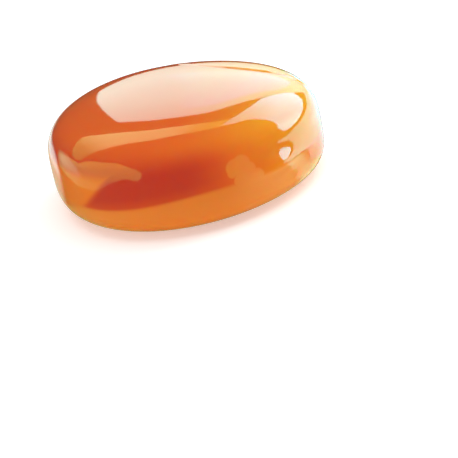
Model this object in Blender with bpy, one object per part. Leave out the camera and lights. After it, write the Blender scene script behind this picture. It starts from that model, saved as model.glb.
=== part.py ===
"""A round salted caramel candy, lying on its flat underside.

Blender 4.5, metres, +Z up. The origin is under the middle of the candy, on the surface it lies on.
The side that faces -Y is the front. The candy is one piece of poured caramel: a turned, soft-edged
disc with a faintly domed top, made uneven the way a hand-poured sweet is.
"""

import math

import bmesh
import bpy
from mathutils import Vector

MM = 0.001

# Driving sizes of the disc
RADIUS = 14.0 * MM
TOP_HEIGHT = 10.7 * MM
WIDEST_HEIGHT = 5.1 * MM
CROWN = 0.5 * MM
BASE_FLAT = 0.12 * MM
WALL_BULGE = 0.020

# Roundness of the edges: 2 is an ellipse, and a larger power gives a squarer edge
SHOULDER_POWER_OUT = 2.9
SHOULDER_POWER_UP = 3.4
FOOT_POWER_OUT = 4.8
FOOT_POWER_DOWN = 5.6

# Unevenness of the round outline, as shares of the radius
OVAL = 0.034
OVAL_TURN = math.radians(125.0)
THREE_SIDED = 0.024
THREE_SIDED_TURN = math.radians(3.0)

# Low fold across the back right of the top, where the caramel ran together. Its line is FOLD_OUT from
# the middle and bows outwards by FOLD_BOW, in metres for each square metre along it. It is highest at
# FOLD_CENTRE along that line, towards the front right, and fades out to both sides.
FOLD_TURN = math.radians(48.0)
FOLD_OUT = 6.9 * MM
FOLD_BOW = 26.0
FOLD_CENTRE = -4.0 * MM
FOLD_RISE = 0.15 * MM
FOLD_WIDTH = 0.9 * MM
FOLD_FADE = 8.5 * MM

# Soft swell and hollow of the wall: turn, height, spread round the wall, spread up it, depth
WALL_SWELLS = (
    (math.radians(308.6), 4.9 * MM, math.radians(10.6), 1.0 * MM, 0.75 * MM),
    (math.radians(312.6), 6.05 * MM, math.radians(9.0), 1.26 * MM, -0.25 * MM),
)

# Fineness of the mesh
TURN_STEPS = 96
SHOULDER_STEPS = 20
FOOT_STEPS = 14

CARAMEL_COLOUR = (0.60, 0.095, 0.018, 1.0)


def quarter_arc(steps, power_out, power_up):
    """Shares (out, up) along a rounded quarter, from its rim (1, 0) to its pole (0, 1).

    The angle moves slowly away from both ends, so that the points lie about evenly along the quarter.
    """
    for i in range(steps + 1):
        done = i / steps
        leaving = done ** (power_up / 2)
        arriving = 1 - (1 - done) ** (power_out / 2)
        angle = 0.5 * math.pi * ((1 - done) * leaving + done * arriving)
        yield (
            max(math.cos(angle), 0.0) ** (2 / power_out),
            math.sin(angle) ** (2 / power_up),
        )


def profile():
    """(radius, height) points of the turned shape, from the middle of the underside to the top."""
    foot = []
    for out, down in quarter_arc(FOOT_STEPS, FOOT_POWER_OUT, FOOT_POWER_DOWN):
        foot.append((RADIUS * out, WIDEST_HEIGHT * (1 - down)))
    foot.reverse()
    shoulder = []
    for out, up in quarter_arc(SHOULDER_STEPS, SHOULDER_POWER_OUT, SHOULDER_POWER_UP):
        height = WIDEST_HEIGHT + (TOP_HEIGHT - CROWN - WIDEST_HEIGHT) * up
        shoulder.append((RADIUS * out, height + CROWN * (1 - out**2)))
    return foot + shoulder[1:]


def turned_disc():
    """The profile spun once round +Z, as a closed bmesh."""
    mesh = bmesh.new()
    points = [mesh.verts.new((radius, 0.0, height)) for radius, height in profile()]
    edges = [mesh.edges.new(pair) for pair in zip(points, points[1:])]
    bmesh.ops.spin(
        mesh,
        geom=points + edges,
        cent=(0, 0, 0),
        axis=(0, 0, 1),
        angle=math.tau,
        steps=TURN_STEPS,
    )
    bmesh.ops.remove_doubles(mesh, verts=mesh.verts, dist=0.01 * MM)
    bmesh.ops.recalc_face_normals(mesh, faces=mesh.faces)
    return mesh


def hump(distance, spread):
    """A smooth hump, 1 at distance 0 and fading to nothing past two spreads."""
    return math.exp(-((distance / spread) ** 2))


def turn_between(a, b):
    """The smallest angle from b to a."""
    return (a - b + math.pi) % math.tau - math.pi


def outline_share(turn):
    """The uneven outline seen from above, as a share of the true circle."""
    oval = OVAL * math.cos(2 * (turn - OVAL_TURN))
    three_sided = THREE_SIDED * math.cos(3 * (turn - THREE_SIDED_TURN))
    return 1 + oval + three_sided


def fold_lift(x, y):
    """How far the top stands up past the fold, a step along a slightly bowed line."""
    across = x * math.cos(FOLD_TURN) + y * math.sin(FOLD_TURN)
    along = y * math.cos(FOLD_TURN) - x * math.sin(FOLD_TURN)
    line = FOLD_OUT + FOLD_BOW * along**2
    step = min(max((across - line) / FOLD_WIDTH + 0.5, 0.0), 1.0)
    return FOLD_RISE * step**2 * (3 - 2 * step) * hump(along - FOLD_CENTRE, FOLD_FADE)


def wall_swell(turn, height, share):
    """How far the wall stands out at a place, from its soft hollows and swells."""
    out = 0.0
    for at_turn, at_height, wide, tall, depth in WALL_SWELLS:
        out += depth * hump(turn_between(turn, at_turn), wide) * hump(height - at_height, tall)
    return out * share**6


def make_uneven(mesh):
    """Moves each point of the turned disc to its place on the hand-poured shape."""
    for point in mesh.verts:
        x, y, height = point.co
        share = math.hypot(x, y) / RADIUS
        turn = math.atan2(y, x)
        bulge = 1 - WALL_BULGE * ((height - WIDEST_HEIGHT) / WIDEST_HEIGHT) ** 2
        radius = RADIUS * share * outline_share(turn) * bulge
        radius += wall_swell(turn, height, share)
        x, y = radius * math.cos(turn), radius * math.sin(turn)
        lift = fold_lift(x, y) if height > WIDEST_HEIGHT else 0.0
        point.co = Vector((x, y, max(height + lift - BASE_FLAT, 0.0)))


def centre_over_origin(mesh):
    """Slides the shape sideways until the middle of its box is over the origin."""
    for axis in (0, 1):
        places = [point.co[axis] for point in mesh.verts]
        middle = 0.5 * (min(places) + max(places))
        for point in mesh.verts:
            point.co[axis] -= middle


def caramel_material():
    """Glossy amber caramel."""
    material = bpy.data.materials.new("caramel")
    material.use_nodes = True
    material.diffuse_color = CARAMEL_COLOUR
    shader = material.node_tree.nodes["Principled BSDF"]
    shader.inputs["Base Color"].default_value = CARAMEL_COLOUR
    shader.inputs["Metallic"].default_value = 0.0
    shader.inputs["Roughness"].default_value = 0.08
    shader.inputs["IOR"].default_value = 1.49
    return material


def make_candy():
    """The candy as one smooth-shaded object named caramel_candy."""
    shape = turned_disc()
    make_uneven(shape)
    centre_over_origin(shape)
    shape.normal_update()
    data = bpy.data.meshes.new("caramel_candy")
    shape.to_mesh(data)
    shape.free()
    data.shade_smooth()
    data.materials.append(caramel_material())
    candy = bpy.data.objects.new("caramel_candy", data)
    bpy.context.scene.collection.objects.link(candy)
    return candy


for leftover in list(bpy.data.objects):
    bpy.data.objects.remove(leftover, do_unlink=True)
make_candy()
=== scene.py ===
"""Looks for the salted caramel candy: its poured surface, material, light and camera."""

import math
from typing import NamedTuple

import bpy
import numpy as np
from mathutils import Matrix, Vector


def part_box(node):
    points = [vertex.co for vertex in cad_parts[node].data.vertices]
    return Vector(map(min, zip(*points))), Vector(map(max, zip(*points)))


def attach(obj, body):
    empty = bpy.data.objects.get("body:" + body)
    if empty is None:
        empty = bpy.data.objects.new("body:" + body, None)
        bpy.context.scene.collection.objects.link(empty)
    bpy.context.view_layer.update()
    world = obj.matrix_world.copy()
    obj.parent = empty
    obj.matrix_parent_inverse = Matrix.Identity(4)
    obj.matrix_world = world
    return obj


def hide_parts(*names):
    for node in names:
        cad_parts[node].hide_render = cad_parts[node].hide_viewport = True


MM = 0.001
NODE = "caramel_candy"

# The candy's form, as the frame's solid has it
RADIUS = 14.0 * MM
TOP_HEIGHT = 10.7 * MM
WIDEST_HEIGHT = 5.1 * MM
CROWN = 0.5 * MM
BASE_FLAT = 0.12 * MM
WALL_BULGE = 0.020
SHOULDER_POWERS = (2.9, 3.4)
FOOT_POWERS = (4.8, 5.6)
OVAL, OVAL_TURN = 0.034, math.radians(125)
THREE_SIDED, THREE_SIDED_TURN = 0.024, math.radians(3)

# The low fold across the back right of the top. Its line is FOLD_OUT from the middle and bows outwards by
# FOLD_BOW, in metres for each square metre along it. It is highest at FOLD_CENTRE along that line.
FOLD_TURN, FOLD_OUT, FOLD_BOW = math.radians(48), 6.9 * MM, 26.0
FOLD_CENTRE, FOLD_FADE = -4.0 * MM, 8.5 * MM
FOLD_RISE, FOLD_WIDTH = 0.15 * MM, 0.45 * MM

# The soft swell and hollow of the wall: turn, height, spread round the wall, spread up it, depth.
# They fade inwards with this power of the distance from the axis.
WALL_SWELLS = (
    (math.radians(308.6), 4.9 * MM, math.radians(10.6), 1.0 * MM, 0.75 * MM),
    (math.radians(312.6), 6.05 * MM, math.radians(9.0), 1.26 * MM, -0.25 * MM),
)
SWELL_FADE = 6

# Fineness of the shown surface
TURN_STEPS = 420
SHOULDER_STEPS = 120
FOOT_STEPS = 60

# Camera: the candy's place and size in the 458 pixel photograph
PHOTO_SIDE = 458
VIEW_ELEVATION = math.radians(22.3)
VIEW_ROLL = math.radians(11.8)
VIEW_DISTANCE = 326.7 * MM
BASE_PIXEL = (194.5, 184.8)
PIXELS_PER_MM = 9.849
SENSOR = 36.0
NEAREST_SEEN = 10 * MM


def hump(distance, spread):
    """A smooth hump, 1 at distance 0 and fading to nothing past two spreads."""
    return np.exp(-((distance / spread) ** 2))


def turn_between(a, b):
    """The smallest angle from b to a."""
    return (a - b + math.pi) % math.tau - math.pi


def quarter_arc(steps, power_out, power_up):
    """Shares out and up along a rounded quarter, from its rim (1, 0) to its pole (0, 1)."""
    done = np.linspace(0, 1, steps + 1)
    leaving = done ** (power_up / 2)
    arriving = 1 - (1 - done) ** (power_out / 2)
    angle = 0.5 * math.pi * ((1 - done) * leaving + done * arriving)
    return np.clip(np.cos(angle), 0, 1) ** (2 / power_out), np.sin(angle) ** (2 / power_up)


def profile():
    """Shares out from the axis and heights, from the middle of the underside to the top."""
    foot_out, down = quarter_arc(FOOT_STEPS, *FOOT_POWERS)
    out, up = quarter_arc(SHOULDER_STEPS, *SHOULDER_POWERS)
    foot_height = WIDEST_HEIGHT * (1 - down)
    height = WIDEST_HEIGHT + (TOP_HEIGHT - CROWN - WIDEST_HEIGHT) * up + CROWN * (1 - out**2)
    shares = np.concatenate([foot_out[::-1], out[1:]])
    heights = np.concatenate([foot_height[::-1], height[1:]])
    return shares, heights


def surface():
    """The candy's points, as an array of rings from the underside's middle to the top's."""
    out, height = profile()
    turns = np.linspace(0, math.tau, TURN_STEPS, endpoint=False)
    share, turn = np.meshgrid(out, turns, indexing="ij")
    height = np.repeat(height[:, None], TURN_STEPS, axis=1)
    uneven = 1 + OVAL * np.cos(2 * (turn - OVAL_TURN))
    uneven += THREE_SIDED * np.cos(3 * (turn - THREE_SIDED_TURN))
    bulge = 1 - WALL_BULGE * ((height - WIDEST_HEIGHT) / WIDEST_HEIGHT) ** 2
    radius = RADIUS * share * uneven * bulge
    for at_turn, at_height, wide, tall, depth in WALL_SWELLS:
        swell = depth * hump(turn_between(turn, at_turn), wide) * hump(height - at_height, tall)
        radius += swell * share**SWELL_FADE
    across = radius * np.cos(turn - FOLD_TURN)
    along = radius * np.sin(turn - FOLD_TURN)
    line = FOLD_OUT + FOLD_BOW * along**2
    step = np.clip((across - line) / FOLD_WIDTH + 0.5, 0, 1)
    fold = FOLD_RISE * step**2 * (3 - 2 * step) * hump(along - FOLD_CENTRE, FOLD_FADE)
    height += np.where(height > WIDEST_HEIGHT, fold, 0)
    height = np.maximum(height - BASE_FLAT, 0)
    return np.stack([radius * np.cos(turn), radius * np.sin(turn), height], axis=-1)


def fitted(points, low, high):
    """The points, with their box laid exactly in the frame's box."""
    own_low = points.reshape(-1, 3).min(axis=0)
    own_high = points.reshape(-1, 3).max(axis=0)
    scale = (np.array(high) - np.array(low)) / (own_high - own_low)
    return (points - own_low) * scale + np.array(low)


def ring_mesh(name, rings):
    """A closed mesh from rings of points, the first and last ring each drawn in to one point."""
    count, around = rings.shape[:2]
    inner = rings[1:-1].reshape(-1, 3)
    points = np.vstack([inner, rings[0].mean(axis=0), rings[-1].mean(axis=0)])
    foot, top = len(inner), len(inner) + 1
    faces = []
    for j in range(around):
        k = (j + 1) % around
        faces.append((foot, k, j))
        for i in range(count - 3):
            row, above = i * around, (i + 1) * around
            faces.append((row + j, row + k, above + k, above + j))
        last = (count - 3) * around
        faces.append((last + j, last + k, top))
    mesh = bpy.data.meshes.new(name)
    mesh.from_pydata(points.tolist(), [], faces)
    mesh.shade_smooth()
    mesh.update()
    return mesh


def new_node(tree, kind, **values):
    """A node of that kind, with the named settings."""
    node = tree.nodes.new(kind)
    for key, value in values.items():
        setattr(node, key, value)
    return node


def mapped(tree, value, low, high, to_low=0.0, to_high=1.0):
    """A smooth ramp of value from low to high."""
    ramp = new_node(tree, "ShaderNodeMapRange", interpolation_type="SMOOTHSTEP")
    tree.links.new(value, ramp.inputs["Value"])
    ramp.inputs["From Min"].default_value = low
    ramp.inputs["From Max"].default_value = high
    ramp.inputs["To Min"].default_value = to_low
    ramp.inputs["To Max"].default_value = to_high
    return ramp.outputs["Result"]


def joined(tree, operation, first, second):
    """A Math node of two values, each a socket or a number."""
    node = new_node(tree, "ShaderNodeMath", operation=operation)
    for socket, value in zip(node.inputs, (first, second)):
        if isinstance(value, float):
            socket.default_value = value
        else:
            tree.links.new(value, socket)
    return node.outputs["Value"]


def product(tree, first, *others):
    """The shares multiplied together."""
    for other in others:
        first = joined(tree, "MULTIPLY", first, other)
    return first


# Places of a Mix node's two colours and of the mixed colour among its sockets
MIX_COLOURS, MIXED = (6, 7), 2


def blended(tree, share, first, second):
    """A mix of two colours, each a socket or three numbers."""
    node = new_node(tree, "ShaderNodeMix", data_type="RGBA")
    tree.links.new(share, node.inputs["Factor"])
    for i, colour in zip(MIX_COLOURS, (first, second)):
        if isinstance(colour, tuple):
            node.inputs[i].default_value = (*colour, 1)
        else:
            tree.links.new(colour, node.inputs[i])
    return node.outputs[MIXED]


# Colours of the caramel on top and at the wall's left end, with painted light and shade: gold where light
# comes through the right, painted shade low on the wall, and the painted glow of the foot band and painted
# reflection, paler to the right
ORANGE = (0.76, 0.152, 0.029)
BACKLIT_GOLD = (0.86, 0.44, 0.03)
PAINTED_SHADE = (0.57, 0.07, 0.034)
AMBER = (0.82, 0.245, 0.035)
PAINTED_GLOW = (0.77, 0.26, 0.045)
PAINTED_GLOW_PEACH = (0.88, 0.36, 0.09)

# Where the gold of painted light coming through the right side comes in, as distances to the candy's right,
# further left the higher up
BACKLIT_GOLD_RANGE, BACKLIT_GOLD_SLOPE = (1.3 * MM, 16.8 * MM), 0.55

# The soft band round the shoulder that is a little more gold
SHOULDER_LOW, SHOULDER_MIDDLE, SHOULDER_HIGH = 7.3 * MM, 8.8 * MM, 10.0 * MM
SHOULDER_RIGHT = (-6.0 * MM, 1.0 * MM)
SHOULDER_GOLD = 0.13

# The deep red area of painted shade low on the wall: the heights where it fades out, its slanting left edge
# and the heights where that edge ends, its fading right end, and how far above the foot it is full, with its
# share at the foot
PAINTED_SHADE_TOP = (6.8 * MM, 9.3 * MM)
PAINTED_SHADE_LEFT, PAINTED_SHADE_LEFT_SLOPE = (-14.3 * MM, -13.2 * MM), -0.8
PAINTED_SHADE_LEFT_UNDER = (6.3 * MM, 7.6 * MM)
PAINTED_SHADE_RIGHT = (-1.2 * MM, 5.4 * MM)
PAINTED_SHADE_ABOVE_FOOT, PAINTED_SHADE_AT_FOOT = 1.3 * MM, 0.62

# The band at the foot, a painted glow of the table reflected in and seen through the caramel, whose upper
# edge rises from left to right, and where it grows paler
FOOT_LEFT, FOOT_RIGHT = 3.35 * MM, 4.45 * MM
FOOT_RISES = (-12.0 * MM, 2.0 * MM)
FOOT_EDGE = 0.25 * MM
FOOT_PALER = (1.2 * MM, 10.5 * MM)

# The painted reflection of warm light on the front of the wall, as discs: distance to the right, height,
# radius
REFLECTION_DISCS = (
    (4.9 * MM, 6.15 * MM, 0.95 * MM),
    (4.25 * MM, 6.1 * MM, 0.85 * MM),
    (3.95 * MM, 5.65 * MM, 0.5 * MM),
    (5.35 * MM, 5.4 * MM, 0.95 * MM),
    (5.0 * MM, 4.6 * MM, 1.05 * MM),
    (6.2 * MM, 4.6 * MM, 0.8 * MM),
)
REFLECTION_EDGE = 0.12 * MM
REFLECTION_FRONT = (-4.0 * MM, -6.0 * MM)


def leaning(tree, right, level, slope, pivot):
    """The distance to the right plus slope times the height above the pivot."""
    above = joined(tree, "SUBTRACT", level, pivot)
    return joined(tree, "ADD", right, joined(tree, "MULTIPLY", above, slope))


def backlit_gold_share(tree, right, level):
    """How gold the caramel is made by painted light coming through: more to the right and higher up, and
    round the shoulder.
    """
    shoulder = product(
        tree,
        mapped(tree, level, SHOULDER_LOW, SHOULDER_MIDDLE, 0.0, SHOULDER_GOLD),
        mapped(tree, level, SHOULDER_MIDDLE, SHOULDER_HIGH, 1.0, 0.0),
        mapped(tree, right, *SHOULDER_RIGHT),
    )
    to_right = mapped(tree, leaning(tree, right, level, BACKLIT_GOLD_SLOPE, WIDEST_HEIGHT), *BACKLIT_GOLD_RANGE)
    return joined(tree, "ADD", to_right, shoulder)


def wall_shares(tree, right, level, above_foot):
    """How amber the wall is and how much painted shade darkens it deep red: amber up to the slanting left
    edge, painted shade past it.
    """
    past_edge = mapped(tree, leaning(tree, right, level, PAINTED_SHADE_LEFT_SLOPE, 0.0), *PAINTED_SHADE_LEFT)
    past_edge = joined(tree, "MAXIMUM", past_edge, mapped(tree, level, *PAINTED_SHADE_LEFT_UNDER))
    low = mapped(tree, level, *PAINTED_SHADE_TOP, 1.0, 0.0)
    amber = product(tree, low, mapped(tree, past_edge, 0.0, 1.0, 1.0, 0.0))
    painted_shade_share = product(
        tree,
        low,
        past_edge,
        mapped(tree, right, *PAINTED_SHADE_RIGHT, 1.0, 0.0),
        mapped(tree, above_foot, 0.0, PAINTED_SHADE_ABOVE_FOOT, PAINTED_SHADE_AT_FOOT, 1.0),
    )
    return amber, painted_shade_share


def painted_reflection_share(tree, place, back):
    """1 on the painted reflection down the front of the wall, 0 elsewhere."""
    flat = new_node(tree, "ShaderNodeVectorMath", operation="MULTIPLY")
    tree.links.new(place, flat.inputs[0])
    flat.inputs[1].default_value = (1, 0, 1)
    inside = 0.0
    for right, up, radius in REFLECTION_DISCS:
        away = new_node(tree, "ShaderNodeVectorMath", operation="DISTANCE")
        tree.links.new(flat.outputs["Vector"], away.inputs[0])
        away.inputs[1].default_value = (right, 0, up)
        disc = mapped(tree, away.outputs["Value"], radius - REFLECTION_EDGE, radius + REFLECTION_EDGE, 1.0, 0.0)
        inside = joined(tree, "MAXIMUM", disc, inside)
    return product(tree, inside, mapped(tree, back, *REFLECTION_FRONT))


def caramel_colour(tree):
    """Orange on top, with painted light and shade: gold where light comes through the right, deep red
    painted shade low on the wall, and a painted glow at the foot.
    """
    place = new_node(tree, "ShaderNodeTexCoord").outputs["Object"]
    parts = new_node(tree, "ShaderNodeSeparateXYZ")
    tree.links.new(place, parts.inputs["Vector"])
    right, back, level = (parts.outputs[axis] for axis in "XYZ")
    foot_line = mapped(tree, right, *FOOT_RISES, FOOT_LEFT, FOOT_RIGHT)
    above_foot = joined(tree, "SUBTRACT", level, foot_line)
    amber, painted_shade_share = wall_shares(tree, right, level, above_foot)
    # Painted light: gold where light comes through the right side of the candy.
    colour = blended(tree, backlit_gold_share(tree, right, level), ORANGE, BACKLIT_GOLD)
    colour = blended(tree, amber, colour, AMBER)
    # Painted shade: deep red low on the wall, where it faces away from the lights.
    colour = blended(tree, painted_shade_share, colour, PAINTED_SHADE)
    # Painted light: the glow of the table in the band at the foot, and the painted reflection on the front
    # of the wall.
    foot = mapped(tree, above_foot, -FOOT_EDGE, FOOT_EDGE, 1.0, 0.0)
    painted_glow_share = joined(tree, "MAXIMUM", foot, painted_reflection_share(tree, place, back))
    light = blended(tree, mapped(tree, right, *FOOT_PALER), PAINTED_GLOW, PAINTED_GLOW_PEACH)
    return blended(tree, painted_glow_share, colour, light)


def caramel_material():
    """Amber caramel: light scatters a long way in red, less in green and hardly in blue."""
    material = bpy.data.materials.new("caramel")
    material.use_nodes = True
    tree = material.node_tree
    shader = tree.nodes["Principled BSDF"]
    tree.links.new(caramel_colour(tree), shader.inputs["Base Color"])
    shader.inputs["Roughness"].default_value = 0.04
    shader.inputs["IOR"].default_value = 1.5
    shader.inputs["Subsurface Weight"].default_value = 1.0
    shader.inputs["Subsurface Radius"].default_value = (1.0, 0.30, 0.08)
    shader.inputs["Subsurface Scale"].default_value = 6 * MM
    shader.inputs["Subsurface Anisotropy"].default_value = 0.3
    return material


def direction(azimuth, elevation):
    """The unit vector towards a place round the candy: azimuth 0 is behind it, 90 to its right."""
    azimuth, elevation = math.radians(azimuth), math.radians(elevation)
    level = math.cos(elevation)
    return Vector((level * math.sin(azimuth), level * math.cos(azimuth), math.sin(elevation)))


# How far a panel's edge fades in, as the sine of an angle, where it is a sharp one
CRISP = 0.004


class Glow(NamedTuple):
    """A gradient of light: its two colours, and the (azimuth, elevation) where each is reached."""

    near: tuple
    far: tuple
    ends: tuple


class Panel(NamedTuple):
    """A glowing area as the candy sees it, with corners at (azimuth, elevation)."""

    corners: tuple
    glow: Glow
    soft: float = CRISP


WINDOW_GLOW = Glow(near=(1.3, 5.1, 7.6), far=(1.6, 3.5, 3.2), ends=((38, 38), (22, 53)))
STRIP_GLOW = Glow(near=(0.3, 1.2, 0.3), far=(2.1, 3.0, 1.25), ends=((-38, 31), (-20, 43)))
REFLECTOR_GLOW = Glow(near=(0.2, 0.9, 0.4), far=(1.7, 2.3, 0.5), ends=((-90, -8), (-95, 24)))

PANELS = (
    # The backdrop behind the top
    Panel(
        corners=((-9.5, 30), (-4.5, 34.2), (2, 37), (5.5, 37.9), (9.6, 36.3), (17.2, 32.5),
                 (21.9, 29.9), (26.5, 21.7), (28, 14), (28.5, 8), (30, -8), (2.3, -3.7), (-2.5, 0.5),
                 (-6.1, 5), (-8, 14.6)),
        glow=Glow(near=(1.0, 1.2, 1.0), far=(1.5, 3.0, 2.7), ends=((5, -6), (5, 18))),
    ),
    # Its brighter right part
    Panel(
        corners=((-2, 10), (-2, 31.5), (2.5, 34), (5.5, 34.8), (8.5, 33.4), (15.5, 29.8),
                 (19.5, 27.5), (21, 18), (18, 10)),
        glow=Glow(near=(1.4, 3.1, 3.0), far=(1.3, 3.1, 4.1), ends=((0, 22), (11, 24))),
        soft=0.05,
    ),
    # The window at the right
    Panel(
        corners=((16.3, 51), (16.2, 34), (20, 29.5), (26, 22), (37, 17.5), (50.2, 16), (88.9, 12.5),
                 (91.9, 15.2), (85.7, 31.5), (74.1, 40.2), (62, 46)),
        glow=WINDOW_GLOW,
    ),
    # Its tip
    Panel(
        corners=((15.7, 54.3), (16.1, 46), (28, 43), (28, 51), (23, 53.8)),
        glow=WINDOW_GLOW,
    ),
    # Its brighter end
    Panel(
        corners=((55, 15.7), (88.9, 12.5), (91.9, 15.2), (85.7, 31.5), (74.1, 40.2), (62, 46),
                 (55, 47.5)),
        glow=Glow(near=(1.3, 5.1, 7.6), far=(2.2, 9.0, 11.0), ends=((52, 33), (80, 24))),
    ),
    # The strip light, right part
    Panel(
        corners=((-5, 42.8), (19, 49.5), (19, 55), (8, 56), (-5, 54.4)),
        glow=Glow(near=(2.2, 3.0, 1.25), far=(1.4, 1.9, 0.3), ends=((-6, 49), (10, 51))),
    ),
    # Its middle
    Panel(
        corners=((-24, 29), (-2, 45), (-2, 54.6), (-12, 53.9), (-24, 49.2)),
        glow=STRIP_GLOW,
    ),
    # Its left end
    Panel(
        corners=((-20, 32), (-24, 29), (-36, 26.5), (-47, 23.3), (-55, 22.8), (-58, 28), (-51, 35.8),
                 (-20, 50.6)),
        glow=STRIP_GLOW,
    ),
    # The pale table to the right
    Panel(
        corners=((28, 9), (36, 10), (82, 6), (100, -8.5), (90, -20), (30, -20)),
        glow=Glow(near=(1.5, 3.8, 3.6), far=(1.1, 2.2, 2.6), ends=((75, -5), (45, -20))),
        soft=0.015,
    ),
    # The same, past the right edge
    Panel(
        corners=((12, -26), (9, -5), (32, 3), (60, 0), (60, -26)),
        glow=Glow(near=(0.9, 1.3, 1.4), far=(0.8, 2.8, 3.5), ends=((33, -25), (33, -15))),
        soft=0.02,
    ),
    # Its near part
    Panel(
        corners=((22, -24), (78, -24), (75, -38), (22, -42)),
        glow=Glow(near=(0.8, 1.8, 1.2), far=(0.8, 1.8, 1.2), ends=((35, -25), (35, -13))),
        soft=0.05,
    ),
    # The pale wall to the left
    Panel(
        corners=((-5, -12), (-24, -2.5), (-33, 0), (-39, -4), (-40, -14), (-36.5, -21), (-32, -23.5),
                 (-22, -26), (-5, -27)),
        glow=Glow(near=(1.45, 2.0, 1.9), far=(0.7, 0.8, 0.6), ends=((-30, -14), (-27, -22))),
        soft=0.07,
    ),
    # The reflector in front, left part
    Panel(
        corners=((-38.9, 8.1), (-55.3, 20.5), (-75, 20), (-84.5, -18.8), (-58.4, -18.3),
                 (-44.1, -9.1)),
        glow=REFLECTOR_GLOW,
    ),
    # Its right part
    Panel(
        corners=((-61.7, 16.5), (-61.4, 32.9), (-69.6, 44.7), (-79.8, 53.5), (-108, 51.8),
                 (-122, 46.5), (-120, 15), (-113, 3.5), (-97.5, -13.7), (-86.5, -18.5), (-63.2, -5)),
        glow=REFLECTOR_GLOW,
    ),
    # The rounded tip of that part
    Panel(
        corners=((-108, 51.8), (-122, 46.5), (-132, 38.5), (-136.5, 28), (-137, 14), (-133, 6),
                 (-108, 24)),
        glow=REFLECTOR_GLOW,
    ),
    # The sheen along its left edge
    Panel(
        corners=((-39.1, 10), (-50.3, 17.9), (-66.8, 12.8), (-75.5, -4.1), (-68.6, -15.3),
                 (-62.6, -17.4), (-48.2, -7.4)),
        glow=Glow(near=(1.4, 2.6, 1.35), far=(0.4, 1.0, 0.65), ends=((-57, 8), (-59, -9))),
        soft=0.08,
    ),
)


def dotted(tree, vector, fixed):
    """The dot product of a vector socket with a fixed vector."""
    node = new_node(tree, "ShaderNodeVectorMath", operation="DOT_PRODUCT")
    tree.links.new(vector, node.inputs[0])
    node.inputs[1].default_value = fixed
    return node.outputs["Value"]


def brightest(tree, total, colour, mask):
    """The brighter, channel by channel, of a colour socket and another colour times its mask."""
    glow = new_node(tree, "ShaderNodeVectorMath", operation="SCALE")
    if isinstance(colour, tuple):
        glow.inputs[0].default_value = colour
    else:
        tree.links.new(colour, glow.inputs[0])
    tree.links.new(mask, glow.inputs["Scale"])
    brighter = new_node(tree, "ShaderNodeVectorMath", operation="MAXIMUM")
    tree.links.new(total, brighter.inputs[0])
    tree.links.new(glow.outputs["Vector"], brighter.inputs[1])
    return brighter.outputs["Vector"]


def add_panel(tree, ray, total, panel):
    """Adds one straight-edged glowing panel to the world, and returns the new total colour."""
    places = [direction(*corner) for corner in panel.corners]
    middle = sum(places, Vector()).normalized()
    mask = 1.0
    for here, following in zip(places, places[1:] + places[:1]):
        edge = here.cross(following).normalized()
        if edge.dot(middle) < 0:
            edge.negate()
        side = mapped(tree, dotted(tree, ray, edge), -panel.soft, panel.soft)
        mask = joined(tree, "MULTIPLY", side, mask)
    near, far = (direction(*end) for end in panel.glow.ends)
    along = far - near
    share = mapped(tree, dotted(tree, ray, along), near.dot(along), far.dot(along))
    colour = blended(tree, share, panel.glow.near, panel.glow.far)
    return brightest(tree, total, colour, mask)


# The dim walls, and the faint glow of the table with the elevations at which it fades out
DIM = (0.06, 0.05, 0.05)
TABLE_GLOW = (0.2, 0.4, 0.15)
TABLE_TOP, TABLE_BOTTOM = (-26.0, -24.5), (-50.0, -42.0)


def between_elevations(tree, ray, bottom, top):
    """1 between two elevations, fading out over each range."""
    parts = new_node(tree, "ShaderNodeSeparateXYZ")
    tree.links.new(ray, parts.inputs["Vector"])
    low, high = ([math.sin(math.radians(end)) for end in ends] for ends in (bottom, top))
    over = mapped(tree, parts.outputs["Z"], *low)
    return joined(tree, "MULTIPLY", over, mapped(tree, parts.outputs["Z"], *high, 1.0, 0.0))


def build_world():
    """A dim studio with the glowing table and panels that the candy's surface mirrors."""
    world = bpy.data.worlds.new("studio")
    bpy.context.scene.world = world
    world.use_nodes = True
    tree = world.node_tree
    ray = new_node(tree, "ShaderNodeTexCoord").outputs["Generated"]
    base = new_node(tree, "ShaderNodeVectorMath", operation="ADD")
    base.inputs[0].default_value = DIM
    table = between_elevations(tree, ray, TABLE_BOTTOM, TABLE_TOP)
    total = brightest(tree, base.outputs["Vector"], TABLE_GLOW, table)
    for panel in PANELS:
        total = add_panel(tree, ray, total, panel)
    tree.links.new(total, tree.nodes["Background"].inputs["Color"])
    world.cycles.sampling_method = "NONE"
    world.cycles_visibility.diffuse = False
    world.cycles_visibility.scatter = False


# The floor's reach from the candy, its grey and its own light
FLOOR_REACH = 3.0
FLOOR_GREY = 0.9
FLOOR_GLOW = 0.38


def build_floor():
    """A plain white floor."""
    mesh = bpy.data.meshes.new("floor")
    corners = [(x * FLOOR_REACH, y * FLOOR_REACH, 0) for x, y in ((-1, -1), (1, -1), (1, 1), (-1, 1))]
    mesh.from_pydata(corners, [], [(0, 1, 2, 3)])
    floor = bpy.data.objects.new("floor", mesh)
    bpy.context.scene.collection.objects.link(floor)
    material = bpy.data.materials.new("floor_white")
    material.use_nodes = True
    shader = material.node_tree.nodes["Principled BSDF"]
    shader.inputs["Base Color"].default_value = (FLOOR_GREY, FLOOR_GREY, FLOOR_GREY, 1)
    shader.inputs["Roughness"].default_value = 1.0
    shader.inputs["Specular IOR Level"].default_value = 0.0
    shader.inputs["Emission Color"].default_value = (1, 1, 1, 1)
    shader.inputs["Emission Strength"].default_value = FLOOR_GLOW
    mesh.materials.append(material)
    floor.visible_glossy = False


# How far off the softboxes stand, and each one's name, azimuth, elevation, side in metres and power in watts
SOFTBOX_DISTANCE = 0.6
SOFTBOXES = (
    ("key", 62, 35, 0.45, 2.0),
    ("overhead", 0, 85, 0.9, 4.2),
    ("front_fill", 195, 25, 0.6, 0.9),
    ("left_fill", 262, 18, 0.5, 0.6),
)


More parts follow.
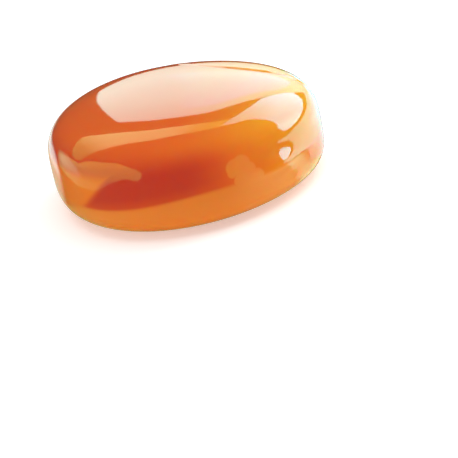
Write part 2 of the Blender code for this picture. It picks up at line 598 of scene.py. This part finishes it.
def add_softbox(name, azimuth, elevation, side, power):
    """A square area light aimed at the candy, whose glossy surface doesn't mirror it."""
    data = bpy.data.lights.new(name, "AREA")
    data.shape = "SQUARE"
    data.size = side
    data.energy = power
    light = bpy.data.objects.new(name, data)
    away = direction(azimuth, elevation)
    light.location = away * SOFTBOX_DISTANCE
    light.rotation_euler = away.to_track_quat("Z", "Y").to_euler()
    light.visible_glossy = False
    light.visible_camera = False
    bpy.context.scene.collection.objects.link(light)


def build_camera():
    """A long lens from the photograph's height, rolled so that the candy leans as it does there."""
    away = Vector((0, -math.cos(VIEW_ELEVATION), math.sin(VIEW_ELEVATION)))
    level = Vector((1, 0, 0))
    upright = away.cross(level)
    right = level * math.cos(VIEW_ROLL) - upright * math.sin(VIEW_ROLL)
    up = level * math.sin(VIEW_ROLL) + upright * math.cos(VIEW_ROLL)
    across = (PHOTO_SIDE / 2 - BASE_PIXEL[0]) / PIXELS_PER_MM * MM
    down = (PHOTO_SIDE / 2 - BASE_PIXEL[1]) / PIXELS_PER_MM * MM
    data = bpy.data.cameras.new("camera")
    data.sensor_width = SENSOR
    data.lens = SENSOR * PIXELS_PER_MM * (VIEW_DISTANCE / MM) / PHOTO_SIDE
    data.clip_start = NEAREST_SEEN
    camera = bpy.data.objects.new("camera", data)
    place = away * VIEW_DISTANCE + right * across - up * down
    turned = Matrix((right, up, away)).transposed()
    camera.matrix_world = Matrix.Translation(place) @ turned.to_4x4()
    bpy.context.scene.collection.objects.link(camera)
    bpy.context.scene.camera = camera


def build_candy():
    """The shown candy, in the place and the box of the frame's solid."""
    low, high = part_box(NODE)
    mesh = ring_mesh("poured_caramel", fitted(surface(), low, high))
    candy = bpy.data.objects.new("poured_caramel", mesh)
    bpy.context.scene.collection.objects.link(candy)
    mesh.materials.append(caramel_material())
    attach(candy, "root")
    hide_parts(NODE)


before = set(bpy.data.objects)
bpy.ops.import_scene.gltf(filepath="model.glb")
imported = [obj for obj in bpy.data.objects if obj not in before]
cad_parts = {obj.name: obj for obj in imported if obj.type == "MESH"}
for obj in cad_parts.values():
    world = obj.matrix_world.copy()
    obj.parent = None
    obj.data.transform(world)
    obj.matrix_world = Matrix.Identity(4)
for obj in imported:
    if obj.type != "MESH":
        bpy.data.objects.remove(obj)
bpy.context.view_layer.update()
build_candy()
build_floor()
build_world()
for softbox in SOFTBOXES:
    add_softbox(*softbox)
build_camera()
bpy.context.scene.view_settings.view_transform = "Standard"
